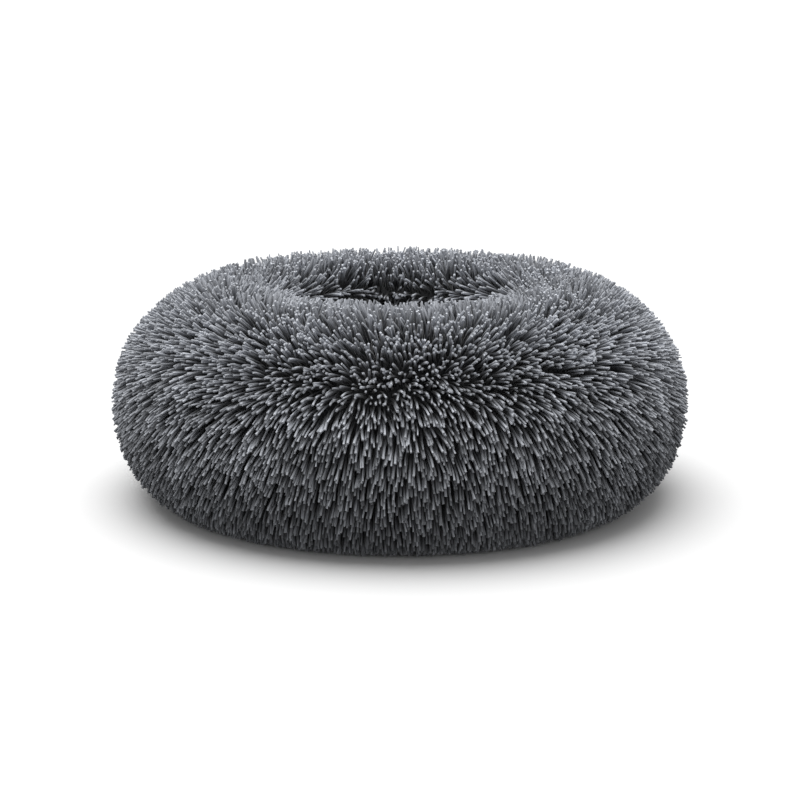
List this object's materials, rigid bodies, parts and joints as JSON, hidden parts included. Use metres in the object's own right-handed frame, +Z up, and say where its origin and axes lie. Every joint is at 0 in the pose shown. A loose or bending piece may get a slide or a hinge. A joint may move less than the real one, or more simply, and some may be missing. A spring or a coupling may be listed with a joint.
{
  "type": "pet cushion bed",
  "caption": "Round pet bed with a fat stuffed bolster ring round a small sunk nest, in a zip-off long-pile plush cover on a dotted cloth base.",
  "frame": {"origin": "on the floor, under the middle of the round base", "axes": "+Z up through the middle of the nest; +X along the zip to its closed end; -Y to the front panel of the base"},
  "size_m": [0.5, 0.4998, 0.188],
  "materials": {
    "plush": "long-pile plush, charcoal with near-black roots and pale frosted tips",
    "base_cloth": "plain-weave polyester cloth, dark grey",
    "grip_rubber": "soft black rubber dots",
    "zip_tape": "herringbone woven tape, black",
    "zip_coil": "black nylon coil",
    "zip_metal": "die-cast metal, dull nickel plating",
    "label_satin": "white satin tape, blank",
    "liner_cloth": "white non-woven lining cloth",
    "fibre": "white polyester fibre stuffing"
  },
  "bodies": {
    "bed": {"bolster_plush": "plush", "nest_plush": "plush", "base_panel_front": "base_cloth", "base_panel_rear": "base_cloth", "grip_dots": "grip_rubber", "zip_tape_front": "zip_tape", "zip_tape_rear": "zip_tape", "zip_coil_front": "zip_coil", "zip_coil_rear": "zip_coil", "zip_top_stops": "zip_metal", "zip_bottom_stop": "zip_metal", "care_label": "label_satin", "ring_liner": "liner_cloth", "ring_filling": "fibre", "pad_liner": "liner_cloth", "pad_filling": "fibre"},
    "slider": {"zip_slider": "zip_metal"},
    "pull": {"zip_pull": "zip_metal"}
  },
  "joints": [
    {"name": "zip_slide", "type": "slide", "parent": "bed", "child": "slider", "axis": [-1, 0, 0], "range_m": [0, 0.234]},
    {"name": "pull_hinge", "type": "hinge", "parent": "slider", "child": "pull", "pos_m": [0.117, 0, 0.00355], "axis": [0, -1, 0], "range_deg": [0, 175]}
  ]
}
